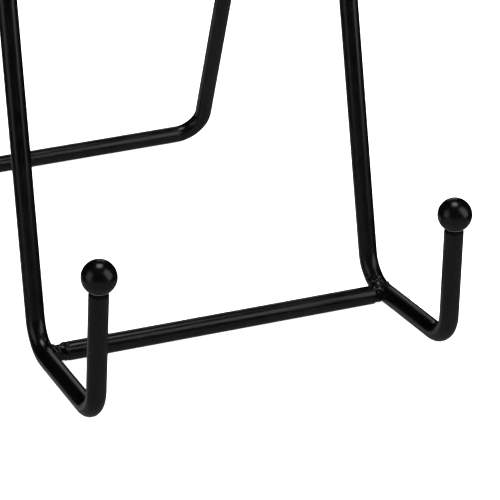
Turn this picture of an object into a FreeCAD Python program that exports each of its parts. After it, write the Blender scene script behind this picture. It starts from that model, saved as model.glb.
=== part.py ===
import FreeCAD, Part
import math
import os

from FreeCAD import Placement, Rotation, Vector

# Folding wire display easel: a front frame bent from one rod, a crossbar between its lower bends,
# a ball on each prong, and a rear leg riveted into two sheet-steel brackets near the top.
#
# Millimetres and degrees. +X points to the right as seen from in front, +Y to the rear and +Z up. The
# origin is on the floor, below the middle of the open easel. A pair of values keyed -1 and 1 is for the
# left and right side: the easel is bent and welded by hand, so its two sides differ a little.

# ---- driving dimensions ----
ROD = 6.0                    # diameter of every rod
HEIGHT = 254.0               # floor to the top of the front frame
HALF_WIDTH = 57.2            # middle plane to a side rod's centre line, at the floor
SIDE_TAPER = 0.8             # each side rod closes in towards the top
FRAME_LEAN = 10.0            # the front frame leans back
FOOT_LENGTH = 49.4           # lower bend to prong bend, corner to corner, along Y
FOOT_SPLAY = 0.9             # each foot turns outwards
PRONG_HEIGHT = {-1: 45.4, 1: 43.4}      # prong bend corner to ball centre, upwards
PRONG_LEAN = 4.1             # each prong leans forwards
PRONG_TOE_IN = 1.3           # and inwards
LOWER_BEND = 11.0            # bend radii, to the centre line
PRONG_BEND = 9.4
TOP_BEND = 20.0
LEG_BEND = 9.5

BALL = 10.5                  # diameter of the ball tips
BORE_CLEARANCE = 0.02        # between a prong's end and its ball's bore, all round
NECK_RADIUS = 2.7            # each prong narrows to this where it enters its ball
NECK_LENGTH = 1.3            # over this length below the mouth
NECK_INSIDE = 0.6            # and keeps that radius this far inside it
PRONG_PAST_CENTRE = 1.5      # how far a prong reaches beyond its ball's centre

CROSSBAR_FORWARD = {-1: 6.1, 1: 10.5}   # lower bend corner to the crossbar's centre line, at each foot
CROSSBAR_CHAMFER = 0.8
WELD_NECK = {-1: 3.8, 1: 1.0}    # gap that the weld bridges at the left and right ends of the crossbar
WELD_NECK_RADIUS = 2.2
WELD_FOOT_RADIUS = 2.9

LEG_STANCE = 145.3           # lower bend corner to the rear leg's bar, on the floor
LEG_HALF_WIDTH = 62.0        # middle plane to the rear leg's bottom corners

HINGE_RISE = 219.0           # floor-level centre line to the bracket's middle, measured upwards
HINGE_STANDOFF = 10.7        # side rod's centre line to the rivet's axis
SHEET = 1.5                  # bracket sheet thickness
EAR_GAP = 3.8                # between a bracket's two ears
EAR_RADIUS = 5.5             # round end of the ears, and half the bracket's height
NEST = 0.4                   # depth that a bracket is saddled over its rod
BRACKET_FOLD = 1.2           # outside radius of the bracket's folds
BRACKET_BEAD = 1.3           # radius of the weld beads beside a bracket
PADDLE_THICKNESS = 3.2       # the rear leg's flattened ends
PADDLE_WIDTH = 8.5
PADDLE_LENGTH = 12.0         # pivot to the lower tip of the flat, inside the rod
PADDLE_TIP = 4.2             # width of that tip
PADDLE_ROUND = 3.0           # rounding of the flat's rear corner
FLAT_START = 7.0             # pivot to the end of the rod's round section
STOP_GAP = 0.03              # between the open leg's heel and the bracket's web
RIVET = 3.0                  # shank diameter
RIVET_HOLE = 3.1             # in the ears
PIVOT_HOLE = 3.15            # in the rear leg: a running fit on the rivet
RIVET_HEAD = 5.2
RIVET_DOME = 1.5
RIVET_UPSET = 1.0
UPSET_RADII = (1.8, 2.5)     # of the upset head, outside and against the ear
CUT_PAST = 1.0               # how far a cutting shape runs past what it cuts

SIDES = {"left": -1, "right": 1}

# ---- derived places ----
rod_radius = ROD / 2
ball_radius = BALL / 2
mouth_depth = math.sqrt(ball_radius ** 2 - (rod_radius + BORE_CLEARANCE) ** 2)   # below a ball's centre
foot_slope = math.tan(math.radians(FOOT_SPLAY))
prong_slope = Vector(-math.tan(math.radians(PRONG_TOE_IN)), -math.tan(math.radians(PRONG_LEAN)), 1)
side_slope = Vector(-math.tan(math.radians(SIDE_TAPER)), math.tan(math.radians(FRAME_LEAN)), 1)
front_reach = FOOT_LENGTH - max(PRONG_HEIGHT.values()) * prong_slope.y + ball_radius
rear_reach = LEG_STANCE + rod_radius
bend_y = (front_reach - rear_reach) / 2      # puts the origin midway between the front and the rear


def mirrored(point, side):
    """The point on the given side, -1 for left, from its place on the right."""
    return Vector(side * point.x, point.y, point.z)


lower_corner = Vector(HALF_WIDTH, bend_y, rod_radius)
toe_corner = lower_corner + Vector(foot_slope, -1, 0) * FOOT_LENGTH
top_corner = lower_corner + side_slope * (HEIGHT - ROD)
leg_corner = Vector(LEG_HALF_WIDTH, bend_y + LEG_STANCE, rod_radius)

frame_tilt = Rotation(Vector(1, 0, 0), -FRAME_LEAN)      # local +Y is square to the leaning frame
hinge_foot = lower_corner + side_slope * HINGE_RISE
pivot = hinge_foot + frame_tilt.multVec(Vector(0, HINGE_STANDOFF, 0))

leg_lean = math.degrees(math.atan2(leg_corner.y - pivot.y, pivot.z - leg_corner.z))
leg_tilt = Rotation(Vector(1, 0, 0), leg_lean)           # local +Z runs up the rear leg
opening = math.radians(FRAME_LEAN + leg_lean)            # angle between the frame and the open leg

web_front = -(HINGE_STANDOFF - rod_radius + NEST)        # behind the rivet's axis, in bracket axes
web_back = web_front + SHEET
bracket_half = EAR_GAP / 2 + SHEET
# The leg's square heel turns forwards as the leg opens, until it bears on the bracket's web.
heel = (-web_back - STOP_GAP - PADDLE_WIDTH / 2 * math.cos(opening)) / math.sin(opening)


def ball_centre(side):
    """The middle of a ball tip."""
    return mirrored(toe_corner + prong_slope * PRONG_HEIGHT[side], side)


def prong_direction(side):
    """The unit vector up a prong."""
    return mirrored(prong_slope, side).normalize()


def crossbar_place(side, inset):
    """The point on the crossbar's centre line, inset along it from a foot's centre line."""
    feet = {s: mirrored(lower_corner + Vector(foot_slope, -1, 0) * CROSSBAR_FORWARD[s], s) for s in (-1, 1)}
    inwards = (feet[-side] - feet[side]).normalize()
    return feet[side] + inwards * inset


def bent_rod(corners, bend_radii):
    """A round rod through the corners, with a tangent bend at each inner corner."""
    pieces = []
    start = corners[0]
    bends = zip(corners, corners[1:], corners[2:], bend_radii)
    for before, corner, after, radius in bends:
        back = (before - corner).normalize()
        ahead = (after - corner).normalize()
        half_angle = back.getAngle(ahead) / 2
        setback = radius / math.tan(half_angle)
        bend_start = corner + back * setback
        centre = corner + (back + ahead).normalize() * (radius / math.sin(half_angle))
        turn = 180 - math.degrees(2 * half_angle)
        section = rod_section(bend_start, back)
        pieces.append(rod_section(start, back).extrude(bend_start - start))
        pieces.append(section.revolve(centre, ahead.cross(back), turn))
        start = corner + ahead * setback
    pieces.append(rod_section(start, corners[-1] - start).extrude(corners[-1] - start))
    return pieces[0].multiFuse(pieces[1:]).removeSplitter()


def rod_section(centre, direction):
    return Part.Face(Part.Wire(Part.makeCircle(rod_radius, centre, direction)))


def outline(points, thickness):
    """A plate across X, thickness wide and centred, with the outline given as (y, z) points."""
    corners = [Vector(-thickness / 2, y, z) for y, z in points]
    face = Part.Face(Part.makePolygon(corners + corners[:1]))
    return face.extrude(Vector(thickness, 0, 0))


def x_cylinder(radius, length):
    """A cylinder on the X axis, centred on the origin."""
    return Part.makeCylinder(radius, length, Vector(-length / 2, 0, 0), Vector(1, 0, 0))


def edges_near(shape, places):
    """The edges along X whose middle is at one of the (y, z) places."""
    found = []
    for edge in shape.Edges:
        middle = edge.CenterOfMass
        straight = edge.BoundBox.YLength < 1e-6 and edge.BoundBox.ZLength < 1e-6
        if straight and any(math.hypot(middle.y - y, middle.z - z) < 1e-6 for y, z in places):
            found.append(edge)
    return found


def make_front_frame():
    """One rod from ball to ball: prong, foot, side rod, top bar, side rod, foot, prong."""
    halves = []
    for side in (1, -1):
        bends = [mirrored(corner, side) for corner in (toe_corner, lower_corner, top_corner)]
        halves.append([ball_centre(side) + prong_direction(side) * PRONG_PAST_CENTRE] + bends)
    right, left = halves
    radii = [PRONG_BEND, LOWER_BEND, TOP_BEND]
    frame = bent_rod(right + left[::-1], radii + radii[::-1])
    return frame.cut(make_neck_groove(1)).cut(make_neck_groove(-1))


def make_neck_groove(side):
    """The ring of free space round a prong where it narrows below its ball."""
    prong = prong_direction(side)
    start = ball_centre(side) - prong * (mouth_depth + NECK_LENGTH)
    mouth = start + prong * NECK_LENGTH
    ring = Part.makeCylinder(rod_radius + CUT_PAST, NECK_LENGTH + NECK_INSIDE, start, prong)
    core = Part.makeCone(rod_radius, NECK_RADIUS, NECK_LENGTH, start, prong)
    return ring.cut(core).cut(Part.makeCylinder(NECK_RADIUS, NECK_INSIDE, mouth, prong))


def make_ball_tip(side):
    """A ball with a blind bore from below, which the prong's end fills."""
    centre = ball_centre(side)
    prong = prong_direction(side)
    bore_end = centre + prong * (PRONG_PAST_CENTRE + BORE_CLEARANCE)
    bore = Part.makeCylinder(rod_radius + BORE_CLEARANCE, BALL, bore_end, prong * -1)
    return Part.makeSphere(ball_radius, centre).cut(bore)


def crossbar_end(side):
    """The middle of an end face of the crossbar."""
    return crossbar_place(side, rod_radius + WELD_NECK[side])


def make_crossbar():
    """A straight rod that stops just short of the feet, with chamfered ends."""
    along = crossbar_end(1) - crossbar_end(-1)
    bar = Part.makeCylinder(rod_radius, along.Length, crossbar_end(-1), along)
    rims = [edge for edge in bar.Edges if isinstance(edge.Curve, Part.Circle)]
    return bar.makeChamfer(CROSSBAR_CHAMFER, rims)


def make_crossbar_weld(side, front_frame, crossbar):
    """The weld neck that bridges a crossbar end to its foot, wider where it meets the foot."""
    start = crossbar_end(side)
    overlap = rod_radius / 2
    neck = (crossbar_place(side, 0) - start).normalize()
    span = WELD_NECK[side] + overlap
    weld = Part.makeCone(WELD_NECK_RADIUS, WELD_FOOT_RADIUS, span, start, neck)
    return weld.cut(front_frame).cut(crossbar)


def make_bracket(side, front_frame):
    """A U of sheet steel: a web saddled on the side rod, and two ears around the leg's flat end."""
    tops = [(web_front, EAR_RADIUS), (web_front, -EAR_RADIUS), (0, -EAR_RADIUS), (0, EAR_RADIUS)]
    body = outline(tops, 2 * bracket_half).fuse(x_cylinder(EAR_RADIUS, 2 * bracket_half))
    folds = [
        edge
        for edge in body.Edges
        if edge.BoundBox.XLength < 1e-6
        and edge.BoundBox.YLength < 1e-6
        and abs(edge.CenterOfMass.y - web_front) < 1e-6
    ]
    body = body.makeFillet(BRACKET_FOLD, folds)
    slot_depth = EAR_RADIUS - web_back + CUT_PAST
    slot_corner = Vector(-EAR_GAP / 2, web_back, -EAR_RADIUS - CUT_PAST)
    slot = Part.makeBox(EAR_GAP, slot_depth, 2 * (EAR_RADIUS + CUT_PAST), slot_corner)
    body = body.cut(slot).cut(x_cylinder(RIVET_HOLE / 2, 4 * bracket_half))
    body.Placement = Placement(mirrored(pivot, side), frame_tilt)
    return body.cut(front_frame)


def make_bracket_weld(side, front_frame, bracket):
    """Two beads in the corners between a side rod and its bracket's web."""
    length = 2 * EAR_RADIUS
    beads = []
    for flank in (-1, 1):
        foot = Vector(flank * (bracket_half - BRACKET_FOLD), web_front - BRACKET_BEAD / 2, -length / 2)
        beads.append(Part.makeCylinder(BRACKET_BEAD, length, foot, Vector(0, 0, 1)))
    group = Part.makeCompound(beads)
    group.Placement = Placement(mirrored(pivot, side), frame_tilt)
    return group.cut(front_frame).cut(bracket)


def make_rivet(side):
    """A shank through both ears, a domed head outboard and an upset head inboard."""
    along = Vector(1, 0, 0)
    head = RIVET_HEAD / 2
    dome_ball = (head ** 2 + RIVET_DOME ** 2) / (2 * RIVET_DOME)
    dome_centre = Vector(bracket_half + RIVET_DOME - dome_ball, 0, 0)
    shank = x_cylinder(RIVET / 2, 2 * bracket_half)
    dome = Part.makeCylinder(head, RIVET_DOME, Vector(bracket_half, 0, 0), along)
    dome = dome.common(Part.makeSphere(dome_ball, dome_centre))
    upset_start = Vector(-bracket_half - RIVET_UPSET, 0, 0)
    upset = Part.makeCone(*UPSET_RADII, RIVET_UPSET, upset_start, along)
    rivet = shank.multiFuse([dome, upset])
    facing = Rotation(Vector(0, 0, 1), 0 if side > 0 else 180)
    rivet.Placement = Placement(mirrored(pivot, side), frame_tilt.multiply(facing))
    return rivet


def make_paddle(side):
    """The flattened, drilled end of the rear leg. Its square front corner is the stop heel."""
    half = PADDLE_WIDTH / 2
    tip = PADDLE_TIP / 2
    points = [
        (-half, heel),
        (-half, -FLAT_START),
        (-tip, -PADDLE_LENGTH),
        (tip, -PADDLE_LENGTH),
        (half, -FLAT_START),
        (half, heel),
    ]
    flat = outline(points, PADDLE_THICKNESS)
    flat = flat.makeFillet(PADDLE_ROUND, edges_near(flat, [(half, heel)]))
    flat = flat.cut(x_cylinder(PIVOT_HOLE / 2, 2 * PADDLE_THICKNESS))
    flat.Placement = Placement(mirrored(pivot, side), leg_tilt)
    return flat


def make_squeeze(side):
    """The wedge of free space on both faces of a rod's end, where it narrows to the flat."""
    wide = ROD
    top = CUT_PAST - FLAT_START
    half_flat = PADDLE_THICKNESS / 2
    wedges = []
    for flank in (-1, 1):
        corners = [
            Vector(flank * half_flat, -wide, top),
            Vector(flank * wide, -wide, top),
            Vector(flank * wide, -wide, -PADDLE_LENGTH),
            Vector(flank * rod_radius, -wide, -PADDLE_LENGTH),
        ]
        face = Part.Face(Part.makePolygon(corners + corners[:1]))
        wedges.append(face.extrude(Vector(0, 2 * wide, 0)))
    group = Part.makeCompound(wedges)
    group.Placement = Placement(mirrored(pivot, side), leg_tilt)
    return group


def make_rear_leg():
    """One rod bent to a U, with flattened ends that turn on the rivets."""
    up = (pivot - leg_corner).normalize()
    rod_end = pivot - up * FLAT_START
    right = [rod_end, leg_corner]
    left = [mirrored(corner, -1) for corner in reversed(right)]
    leg = bent_rod(right + left, [LEG_BEND, LEG_BEND])
    for side in SIDES.values():
        leg = leg.cut(make_squeeze(side))
        leg = leg.fuse(make_paddle(side))
    return leg.removeSplitter()


def make_parts():
    parts = {}
    front_frame = make_front_frame()
    crossbar = make_crossbar()
    parts["front_frame"] = front_frame
    parts["lower_crossbar"] = crossbar
    parts["rear_leg"] = make_rear_leg()
    for name, side in SIDES.items():
        bracket = make_bracket(side, front_frame)
        parts["ball_tip_" + name] = make_ball_tip(side)
        parts["hinge_bracket_" + name] = bracket
        parts["hinge_rivet_" + name] = make_rivet(side)
        parts["weld_crossbar_" + name] = make_crossbar_weld(side, front_frame, crossbar)
        parts["weld_bracket_" + name] = make_bracket_weld(side, front_frame, bracket)
    return parts


os.makedirs("parts", exist_ok=True)
for part_name, part_shape in make_parts().items():
    part_shape.exportStep("parts/" + part_name + ".step")
    volume = round(part_shape.Volume, 1)
    print(part_name, len(part_shape.Solids), "solid(s),", volume, "mm3, valid:", part_shape.isValid())
print("hinge axis at y", round(pivot.y, 6), "z", round(pivot.z, 6), "opens to", round(math.degrees(opening), 2))
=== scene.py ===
import math
import random

import bmesh
import bpy
from mathutils import Matrix, Quaternion, Vector, noise


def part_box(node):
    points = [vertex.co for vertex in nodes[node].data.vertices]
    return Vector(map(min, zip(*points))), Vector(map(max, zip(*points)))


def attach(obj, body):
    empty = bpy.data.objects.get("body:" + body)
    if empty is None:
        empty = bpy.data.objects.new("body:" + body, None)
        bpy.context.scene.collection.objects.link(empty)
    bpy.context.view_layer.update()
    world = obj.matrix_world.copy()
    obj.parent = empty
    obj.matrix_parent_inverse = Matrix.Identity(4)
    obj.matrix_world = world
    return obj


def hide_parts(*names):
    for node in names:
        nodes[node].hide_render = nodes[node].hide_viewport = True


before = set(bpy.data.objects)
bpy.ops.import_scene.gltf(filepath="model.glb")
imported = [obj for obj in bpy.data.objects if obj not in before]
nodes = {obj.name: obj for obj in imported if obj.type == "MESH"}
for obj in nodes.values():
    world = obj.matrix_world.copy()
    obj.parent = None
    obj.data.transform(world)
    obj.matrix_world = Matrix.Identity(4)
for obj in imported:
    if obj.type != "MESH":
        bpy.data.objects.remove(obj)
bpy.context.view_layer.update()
MM = 0.001

# ---- sizes of the wire, in metres: the same easel as the frame ----
ROD_RADIUS = 3.0 * MM
HALF_WIDTH = 57.2 * MM             # middle plane to a side rod's centre line, at the floor
FOOT_LENGTH = 49.4 * MM            # lower bend to prong bend, corner to corner, along Y
LEG_STANCE = 145.3 * MM            # lower bend's corner to the rear leg's bar, on the floor
LOWER_BEND = 11.0 * MM             # bend radius, to the centre line
FRAME_LEAN = math.radians(10.0)
SIDE_TAPER = math.radians(0.8)
FOOT_SPLAY = math.radians(0.9)

SIDES = {"left": -1, "right": 1}

bend_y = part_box("rear_leg")[1].y - ROD_RADIUS - LEG_STANCE
side_slope = Vector((-math.tan(SIDE_TAPER), math.tan(FRAME_LEAN), 1))


# ---------------------------------------------------------------- materials
CLOUD = (9 * MM, 3)                # size of the features and detail of the coat's noises
PEEL = (0.7 * MM, 2)
RIPPLE = (5 * MM, 1)
NOISE_LOW = 0.3                    # most of a noise's values lie between these two
NOISE_HIGH = 0.7
COOL_TINT = 1.04                   # the lighter clouds are slightly blue
FULL_GLOSS = 0.5                   # specular level of the coat
SHADED_RING_GLOSS = 0.04                  # and of the creased ring below each ball, lowered there as painted shade
RING_ROUGHNESS = 0.9
RING_REACH = (4.3 * MM, 6.25 * MM)     # inside and outside of the ring, from the ball's centre
FARTHEST = 1.0                     # metres: more than from any point of the easel to a ball

# Roughness from and to, depth in mm of orange peel and ripples, darkest and lightest grey.
COATS = {
    "wire_coat": (0.17, 0.27, 0.010, 0.03, 0.0008, 0.0020),
    "ball_coat": (0.17, 0.23, 0.003, 0.01, 0.0008, 0.0020),
    "weld_coat": (0.10, 0.17, 0.015, 0.05, 0.0008, 0.0020),
    "bracket_coat": (0.30, 0.42, 0.012, 0.02, 0.0008, 0.0020),
    "rivet_coat": (0.24, 0.38, 0.010, 0.03, 0.003, 0.008),
    # The ball's lip: its lighter grey is a painted highlight, the light crescent where the lip curves under
    # the ball.
    "painted_highlight_rim": (0.30, 0.45, 0.006, 0.02, 0.06, 0.15),
}


def new_material(name):
    material = bpy.data.materials.new(name)
    material.use_nodes = True
    tree = material.node_tree
    shader = tree.nodes["Principled BSDF"]
    return material, tree, shader


def object_place(tree):
    return tree.nodes.new("ShaderNodeTexCoord").outputs["Object"]


def noise_node(tree, place, size, detail):
    """Noise whose features are about size metres across."""
    node = tree.nodes.new("ShaderNodeTexNoise")
    node.inputs["Scale"].default_value = 1 / size
    node.inputs["Detail"].default_value = detail
    tree.links.new(place, node.inputs["Vector"])
    return node.outputs["Fac"]


def ramp(tree, value, low, high):
    """A noise spread between two colours."""
    node = tree.nodes.new("ShaderNodeValToRGB")
    node.color_ramp.elements[0].position = NOISE_LOW
    node.color_ramp.elements[0].color = (*low, 1)
    node.color_ramp.elements[1].position = NOISE_HIGH
    node.color_ramp.elements[1].color = (*high, 1)
    tree.links.new(value, node.inputs["Fac"])
    return node.outputs["Color"]


def spread(tree, value, low, high):
    """A noise spread between two numbers."""
    node = tree.nodes.new("ShaderNodeMapRange")
    node.inputs["From Min"].default_value = NOISE_LOW
    node.inputs["From Max"].default_value = NOISE_HIGH
    node.inputs["To Min"].default_value = low
    node.inputs["To Max"].default_value = high
    tree.links.new(value, node.inputs["Value"])
    return node.outputs["Result"]


def bump(tree, shader, heights):
    """Stacks (height, depth in metres) pairs onto the shader's normal."""
    normal = None
    for height, depth in heights:
        node = tree.nodes.new("ShaderNodeBump")
        node.inputs["Strength"].default_value = 1.0
        node.inputs["Distance"].default_value = depth
        tree.links.new(height, node.inputs["Height"])
        if normal:
            tree.links.new(normal, node.inputs["Normal"])
        normal = node.outputs["Normal"]
    tree.links.new(normal, shader.inputs["Normal"])


def math_node(tree, operation, *values):
    """The result of an operation on sockets and numbers."""
    node = tree.nodes.new("ShaderNodeMath")
    node.operation = operation
    for socket, value in zip(node.inputs, values):
        if isinstance(value, (int, float)):
            socket.default_value = value
        else:
            tree.links.new(value, socket)
    return node.outputs["Value"]


def shell_mask(tree, place, centres, inner, outer):
    """1 between two distances from any of the centres, and 0 elsewhere."""
    nearest = FARTHEST
    for centre in centres:
        node = tree.nodes.new("ShaderNodeVectorMath")
        node.operation = "DISTANCE"
        node.inputs[1].default_value = centre
        tree.links.new(place, node.inputs[0])
        nearest = math_node(tree, "MINIMUM", node.outputs["Value"], nearest)
    past_inner = math_node(tree, "GREATER_THAN", nearest, inner)
    within_outer = math_node(tree, "LESS_THAN", nearest, outer)
    return math_node(tree, "MULTIPLY", past_inner, within_outer)


def coat_material(name, rough_low, rough_high, peel_depth, ripple_depth, dark, light):
    """Stoved black coat: faint cloudy colour, patchy gloss, orange peel and slow ripples."""
    material, tree, shader = new_material(name)
    place = object_place(tree)
    cloud = noise_node(tree, place, *CLOUD)
    peel = noise_node(tree, place, *PEEL)
    ripple = noise_node(tree, place, *RIPPLE)
    colour = ramp(tree, cloud, (dark, dark, dark), (light, light, light * COOL_TINT))
    tree.links.new(colour, shader.inputs["Base Color"])
    tree.links.new(spread(tree, cloud, rough_low, rough_high), shader.inputs["Roughness"])
    bump(tree, shader, [(ripple, ripple_depth * MM), (peel, peel_depth * MM)])
    return material


def add_painted_shade_ring(material, centres):
    """Painted shade in the creased ring below each ball, where little light gets in: the coat's specular
    level drops there, and its roughness rises.
    """
    tree = material.node_tree
    shader = tree.nodes["Principled BSDF"]
    mask = shell_mask(tree, object_place(tree), centres, *RING_REACH)
    # painted shade: less specular reflection inside the ring
    gloss = math_node(tree, "MULTIPLY_ADD", mask, SHADED_RING_GLOSS - FULL_GLOSS, FULL_GLOSS)
    tree.links.new(gloss, shader.inputs["Specular IOR Level"])
    coat = shader.inputs["Roughness"].links[0].from_socket
    roughness = math_node(tree, "MAXIMUM", coat, math_node(tree, "MULTIPLY", mask, RING_ROUGHNESS))
    tree.links.new(roughness, shader.inputs["Roughness"])


def ball_place(name):
    """Centre and radius of a ball tip."""
    low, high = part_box("ball_tip_" + name)
    radius = (high.x - low.x) / 2
    return Vector(((low.x + high.x) / 2, (low.y + high.y) / 2, high.z - radius)), radius


def paint(node, coat):
    slots = nodes[node].data.materials
    slots.clear()
    slots.append(coats[coat])


coats = {name: coat_material(name, *values) for name, values in COATS.items()}
# The wire's coat gets painted shade, a lower specular level, in a ring below each ball.
add_painted_shade_ring(coats["wire_coat"], [ball_place(name)[0] for name in SIDES])

for node in ("front_frame", "lower_crossbar", "rear_leg"):
    paint(node, "wire_coat")
for name in SIDES:
    paint("ball_tip_" + name, "ball_coat")
    paint("weld_crossbar_" + name, "weld_coat")
    paint("weld_bracket_" + name, "weld_coat")
    paint("hinge_bracket_" + name, "bracket_coat")
    paint("hinge_rivet_" + name, "rivet_coat")


# ---------------------------------------------------------------- meshes
def shaded_smooth(form, name):
    """A smooth-shaded mesh made from a bmesh, which is freed."""
    mesh = bpy.data.meshes.new(name)
    form.to_mesh(mesh)
    form.free()
    for face in mesh.polygons:
        face.use_smooth = True
    return mesh


def add_piece(form, name, body, coat):
    """An object made from a bmesh, riding on a body, in a coat of COATS."""
    bmesh.ops.recalc_face_normals(form, faces=form.faces)
    mesh = shaded_smooth(form, name)
    mesh.materials.append(coats[coat])
    piece = bpy.data.objects.new(name, mesh)
    bpy.context.collection.objects.link(piece)
    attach(piece, body)
    return piece


def ring(form, radius, height, segments):
    """A level circle of vertices round the Z axis."""
    angles = [2 * math.pi * i / segments for i in range(segments)]
    return [form.verts.new((radius * math.cos(a), radius * math.sin(a), height)) for a in angles]


def revolved(profile, segments):
    """A skin turned about Z from (radius, height) pairs, whose first point is on the axis. It is closed at
    the far end by a flat face."""
    form = bmesh.new()
    tip = form.verts.new((0, 0, profile[0][1]))
    rings = [ring(form, radius, height, segments) for radius, height in profile[1:]]
    for i in range(segments):
        j = (i + 1) % segments
        form.faces.new((tip, rings[0][i], rings[0][j]))
        for near, far in zip(rings, rings[1:]):
            form.faces.new((near[i], far[i], far[j], near[j]))
    form.faces.new(rings[-1][::-1])
    return form


def fused(balls):
    """One closed skin round overlapping balls, given as (centre, radius) pairs, with its creases softened."""
    form = bmesh.new()
    for centre, radius in balls:
        # The skin is made in millimetres, because a remesh rounds small voxels in metres.
        place = Matrix.Translation(centre / MM)
        bmesh.ops.create_icosphere(form, subdivisions=BLOB_SUBDIVISIONS, radius=radius / MM, matrix=place)
    mesh = bpy.data.meshes.new("balls")
    form.to_mesh(mesh)
    form.free()
    carrier = bpy.data.objects.new("balls", mesh)
    bpy.context.collection.objects.link(carrier)
    remesh = carrier.modifiers.new("skin", "REMESH")
    remesh.mode = "VOXEL"
    remesh.voxel_size = WELD_VOXEL / MM
    bpy.context.view_layer.update()
    evaluated = carrier.evaluated_get(bpy.context.evaluated_depsgraph_get())
    skin = bmesh.new()
    skin.from_mesh(evaluated.to_mesh())
    evaluated.to_mesh_clear()
    bpy.data.objects.remove(carrier)
    bpy.data.meshes.remove(mesh)
    every_axis = {"use_axis_x": True, "use_axis_y": True, "use_axis_z": True}
    bmesh.ops.smooth_vert(skin, verts=skin.verts, factor=CREASE_SOFTENING, **every_axis)
    bmesh.ops.scale(skin, vec=(MM, MM, MM), verts=skin.verts)
    return skin


def roughen(form, size, depth):
    """Moves each vertex along its normal by noise about size across."""
    form.normal_update()
    for vert in form.verts:
        vert.co += vert.normal * noise.noise(vert.co / size) * depth


# ---------------------------------------------------------------- welds at the crossbar's ends
WELD_SEED = 20
WELD_VOXEL = 0.2 * MM
BLOB_SUBDIVISIONS = 3
CREASE_SOFTENING = 0.5             # how far a vertex moves to the mean of its neighbours
WELD_LUMPS = ((1.6 * MM, 0.30 * MM), (0.8 * MM, 0.20 * MM))    # size and depth
FLOOR_CLEARANCE = 0.05 * MM

# Radii in mm of the neck of metal at the crossbar's end, at its waist and in the foot.
NECKS = {"left": (2.95, 2.35, 2.6), "right": (2.85, 2.7, 2.4)}
NECK_STEPS = 10

# The film of metal over the front rod: its reach along the rod in mm and round it in degrees.
PATCHES = {"left": ((-3.4, 1.0), (24, 70)), "right": ((-11.8, -0.2), (40, 98))}
PATCH_SPACING = 1.3 * MM           # between blobs along the rod
PATCH_TURN = 22                    # degrees between blobs round it
PATCH_BLOB = 1.0 * MM              # radius
PATCH_REACH = 2.1 * MM             # the rod's centre line to a blob's centre
SLIDE_SCATTER = 0.3                # of the spacing
TURN_SCATTER = 6                   # degrees
REACH_SCATTER = 0.15               # mm
BLOB_SPREAD = (0.9, 1.1)

# Single drops of weld metal, in mm and degrees: run past the bend's corner, angle round the rod, reach
# from its centre line, and radius. They are as uneven as hand welding left them.
DROPS = {
    "left": [
        (1.4, 90, 2.5, 1.0),
        (4.4, 95, 2.45, 0.8),
        (0.2, 52, 2.3, 0.85),
        (-2.4, 40, 2.35, 0.95),
        (-4.2, 16, 3.1, 1.2),
        (-6.4, 30, 3.1, 1.3),
        (-7.6, 14, 3.2, 1.1),
    ],
    "right": [
        (0.6, 85, 2.6, 0.8),
        (-1.5, 77, 2.65, 0.9),
        (-4.0, 96, 2.55, 0.9),
        (-5.1, 34, 3.0, 1.1),
        (-7.8, 90, 2.5, 0.95),
        (-8.2, 12, 3.6, 1.2),
        (-9.2, 48, 3.05, 1.4),
        (-10.2, 96, 2.6, 1.05),
        (-12.2, 92, 2.5, 0.9),
        (-11.7, 31, 3.3, 1.2),
    ],
}


def front_rod(side, run):
    """A point on the front rod's centre line and its direction there. run is measured from the lower
    bend's corner: below zero along the foot and above zero up the side rod."""
    corner = Vector((side * HALF_WIDTH, bend_y, ROD_RADIUS))
    toe = Vector((side * math.sin(FOOT_SPLAY), -math.cos(FOOT_SPLAY), 0))
    up = Vector((side * side_slope.x, side_slope.y, side_slope.z)).normalized()
    half = toe.angle(up) / 2
    setback = LOWER_BEND / math.tan(half)
    if run <= -setback:
        return corner - toe * run, -toe
    if run >= setback:
        return corner + up * run, up
    middle = corner + (toe + up).normalized() * (LOWER_BEND / math.sin(half))
    start = corner + toe * setback - middle
    turn = (math.pi - 2 * half) * (run + setback) / (2 * setback)
    bend = Quaternion(up.cross(toe), turn)
    return middle + bend @ start, bend @ -toe


def on_rod(side, run, around, reach):
    """A point beside the front rod. around 0 faces the other side rod and 90 faces into the lower bend."""
    centre, along = front_rod(side, run)
    inboard = Vector((-side, 0, 0))
    inboard = (inboard - along * inboard.dot(along)).normalized()
    inwards = along.cross(inboard) * side
    angle = math.radians(around)
    return centre + (inboard * math.cos(angle) + inwards * math.sin(angle)) * reach


def weld_neck(name, side, bar_radius, waist, foot_radius):
    """A chain of blobs from the crossbar's end, past a waist, to the middle of the foot."""
    low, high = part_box("weld_crossbar_" + name)
    bar_end = high.x if side < 0 else low.x
    foot_end = side * (HALF_WIDTH - ROD_RADIUS / 2)
    blobs = []
    for step in range(NECK_STEPS + 1):
        share = step / NECK_STEPS
        x = bar_end + (foot_end - bar_end) * share
        end_radius = bar_radius + (foot_radius - bar_radius) * share
        radius = end_radius + (waist - (bar_radius + foot_radius) / 2) * math.sin(math.pi * share)
        blobs.append((Vector((x, (low.y + high.y) / 2, ROD_RADIUS)), radius))
    return blobs


def weld_patch(side, runs, arounds, draw):
    """Overlapping blobs of weld metal over part of the front rod."""
    blobs = []
    run = runs[0]
    while run <= runs[1]:
        around = arounds[0]
        while around <= arounds[1]:
            slide = draw.uniform(-SLIDE_SCATTER, SLIDE_SCATTER) * PATCH_SPACING
            reach = PATCH_REACH + draw.uniform(-REACH_SCATTER, REACH_SCATTER) * MM
            turned = around + draw.uniform(-TURN_SCATTER, TURN_SCATTER)
            blobs.append((on_rod(side, run + slide, turned, reach), PATCH_BLOB * draw.uniform(*BLOB_SPREAD)))
            around += PATCH_TURN
        run += PATCH_SPACING
    return blobs


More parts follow.
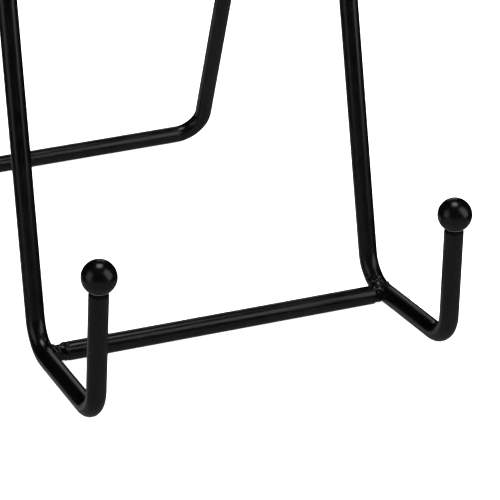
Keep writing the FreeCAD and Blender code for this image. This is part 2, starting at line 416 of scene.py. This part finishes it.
def make_crossbar_weld(name, side):
    """The lumpy weld between a crossbar end and the front rod."""
    draw = random.Random(WELD_SEED + side)
    runs, arounds = PATCHES[name]
    blobs = weld_neck(name, side, *[radius * MM for radius in NECKS[name]])
    blobs += weld_patch(side, [run * MM for run in runs], arounds, draw)
    for run, around, reach, radius in DROPS[name]:
        blobs.append((on_rod(side, run * MM, around, reach * MM), radius * MM))
    form = fused(blobs)
    for size, depth in WELD_LUMPS:
        roughen(form, size, depth)
    for vert in form.verts:
        vert.co.z = max(vert.co.z, FLOOR_CLEARANCE)
    piece = add_piece(form, "weld_bead_crossbar_" + name, "front", "weld_coat")
    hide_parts("weld_crossbar_" + name)


# ---------------------------------------------------------------- ball tips
MOUTH_RADIUS = 3.02 * MM           # bore of a ball tip
LIP_RADIUS = 0.28 * MM
BORE_SEEN = 0.5 * MM               # how far up the bore the skin goes
BALL_STEPS = 40
LIP_STEPS = 8
BALL_SEGMENTS = 72
BALL_LUMPS = (3.0 * MM, 0.03 * MM)     # size and depth
RIM_SLOT = 1                       # the second material of a ball, the lip's painted highlight


def make_ball_tip(name, side):
    """A ball with a rolled lip round its bore and a slightly uneven dipped coat."""
    centre, radius = ball_place(name)
    foot_x = side * (HALF_WIDTH + FOOT_LENGTH * math.tan(FOOT_SPLAY))
    foot = Vector((foot_x, bend_y - FOOT_LENGTH, ROD_RADIUS))
    lip_start = math.pi - math.asin((MOUTH_RADIUS + LIP_RADIUS) / (radius - LIP_RADIUS))
    profile = []
    for step in range(BALL_STEPS + 1):
        angle = lip_start * step / BALL_STEPS
        profile.append((radius * math.sin(angle), radius * math.cos(angle)))
    lip = Vector((MOUTH_RADIUS + LIP_RADIUS, (radius - LIP_RADIUS) * math.cos(lip_start)))
    for step in range(1, LIP_STEPS + 1):
        angle = lip_start + (1.5 * math.pi - lip_start) * step / LIP_STEPS
        profile.append((lip.x + LIP_RADIUS * math.sin(angle), lip.y + LIP_RADIUS * math.cos(angle)))
    profile.append((MOUTH_RADIUS, lip.y + BORE_SEEN))
    form = revolved(profile, BALL_SEGMENTS)
    # The lip's faces get the lighter rim coat, a painted highlight.
    for face in form.faces:
        if face.calc_center_median().z < lip.y:
            face.material_index = RIM_SLOT
    roughen(form, *BALL_LUMPS)
    turn = (centre - foot).to_track_quat("Z", "Y")
    bmesh.ops.rotate(form, verts=form.verts, matrix=turn.to_matrix())
    bmesh.ops.translate(form, verts=form.verts, vec=centre)
    piece = add_piece(form, "dipped_ball_" + name, "front", "ball_coat")
    # the lip's coat, whose lighter grey is a painted highlight
    piece.data.materials.append(coats["painted_highlight_rim"])
    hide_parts("ball_tip_" + name)


for name, side in SIDES.items():
    make_crossbar_weld(name, side)
    make_ball_tip(name, side)


# ---------------------------------------------------------------- studio
CAMERA_AZIMUTH = -25.23
CAMERA_ELEVATION = 24.14
CAMERA_DISTANCE = 0.7388
CAMERA_LENS = 169.78                       # mm
CAMERA_SENSOR = 36.0                       # mm
CAMERA_NEAR = 0.01
CAMERA_AIM = Vector((14.32, 0, 18.75)) * MM     # from midway between the side rods' lower bends

# Azimuth, elevation, distance, width, height, brightness, tilt.
SOFTBOXES = {
    "top_softbox": (150, 87, 1.0, 0.46, 0.46, 3.4, 0),
    "right_softbox": (42, 26, 1.0, 0.66, 1.10, 1.15, 20),
    "left_softbox": (-86, 15, 1.0, 0.62, 0.80, 0.62, 0),
    "rear_softbox": (154, 23, 1.0, 0.42, 0.42, 0.55, 0),
    "rear_floor_glow": (-165, -25, 1.0, 1.10, 0.30, 0.26, 0),
    "floor_glow": (-25, -75, 0.6, 3.4, 3.0, 0.17, 0),
}

FLOOR_INSIDE = 1.0                 # radii of the floor's inner disc and its outer edge
FLOOR_REACH = 5.0
SWEEP = 2.0                        # radius of the curve from the floor to the wall
SWEEP_STEPS = 12
WALL_HEIGHT = 9.0
WALL_SEGMENTS = 96
BACKDROP_TONE = 0.9
BACKDROP_ROUGHNESS = 0.9
BACKDROP_GLOW = 0.88

aim = Vector((0, bend_y, ROD_RADIUS)) + CAMERA_AIM


def direction(azimuth, elevation):
    """Unit vector from the easel towards a light or the camera; azimuth 0 is straight in front."""
    a, e = math.radians(azimuth), math.radians(elevation)
    return Vector((math.sin(a) * math.cos(e), -math.cos(a) * math.cos(e), math.sin(e)))


def add_camera():
    data = bpy.data.cameras.new("camera")
    data.lens = CAMERA_LENS
    data.sensor_width = CAMERA_SENSOR
    data.clip_start = CAMERA_NEAR
    camera = bpy.data.objects.new("camera", data)
    away = direction(CAMERA_AZIMUTH, CAMERA_ELEVATION)
    camera.location = aim + away * CAMERA_DISTANCE
    camera.rotation_euler = away.to_track_quat("Z", "Y").to_euler()
    bpy.context.collection.objects.link(camera)
    bpy.context.scene.camera = camera


def add_softbox(name, azimuth, elevation, distance, width, height, brightness, tilt):
    """A rectangular light that faces the easel. The camera doesn't see it."""
    data = bpy.data.lights.new(name, "AREA")
    data.shape = "RECTANGLE"
    data.size = width
    data.size_y = height
    data.energy = brightness * math.pi * width * height
    light = bpy.data.objects.new(name, data)
    away = direction(azimuth, elevation)
    facing = away.to_track_quat("Z", "Y") @ Quaternion((0, 0, 1), math.radians(tilt))
    light.location = aim + away * distance
    light.rotation_euler = facing.to_euler()
    light.visible_camera = False
    bpy.context.collection.objects.link(light)


def backdrop_mesh():
    """A floor that sweeps up into a round wall."""
    profile = [(FLOOR_INSIDE, 0.0), (FLOOR_REACH, 0.0)]
    for step in range(1, SWEEP_STEPS + 1):
        turn = math.pi / 2 * step / SWEEP_STEPS
        profile.append((FLOOR_REACH + SWEEP * math.sin(turn), SWEEP * (1 - math.cos(turn))))
    profile.append((FLOOR_REACH + SWEEP, WALL_HEIGHT))
    form = bmesh.new()
    rings = [ring(form, radius, height, WALL_SEGMENTS) for radius, height in profile]
    form.faces.new(rings[0])
    for inner, outer in zip(rings, rings[1:]):
        for i in range(WALL_SEGMENTS):
            j = (i + 1) % WALL_SEGMENTS
            form.faces.new((inner[i], outer[i], outer[j], inner[j]))
    return shaded_smooth(form, "backdrop")


def add_backdrop():
    """The pale floor and wall. Glossy rays pass them, so they leave the black coat dark."""
    mesh = backdrop_mesh()
    material, _, shader = new_material("backdrop")
    shader.inputs["Base Color"].default_value = (BACKDROP_TONE, BACKDROP_TONE, BACKDROP_TONE, 1)
    shader.inputs["Roughness"].default_value = BACKDROP_ROUGHNESS
    shader.inputs["Specular IOR Level"].default_value = 0.0
    shader.inputs["Emission Color"].default_value = (1, 1, 1, 1)
    shader.inputs["Emission Strength"].default_value = BACKDROP_GLOW
    material.cycles.emission_sampling = "NONE"
    mesh.materials.append(material)
    backdrop = bpy.data.objects.new("backdrop", mesh)
    bpy.context.collection.objects.link(backdrop)
    backdrop.visible_glossy = False
    backdrop.visible_shadow = False


add_camera()
add_backdrop()
for name, values in SOFTBOXES.items():
    add_softbox(name, *values)

world = bpy.data.worlds.new("studio")
world.use_nodes = True
world.node_tree.nodes["Background"].inputs["Strength"].default_value = 0.0
bpy.context.scene.world = world
bpy.context.scene.view_settings.view_transform = "Standard"
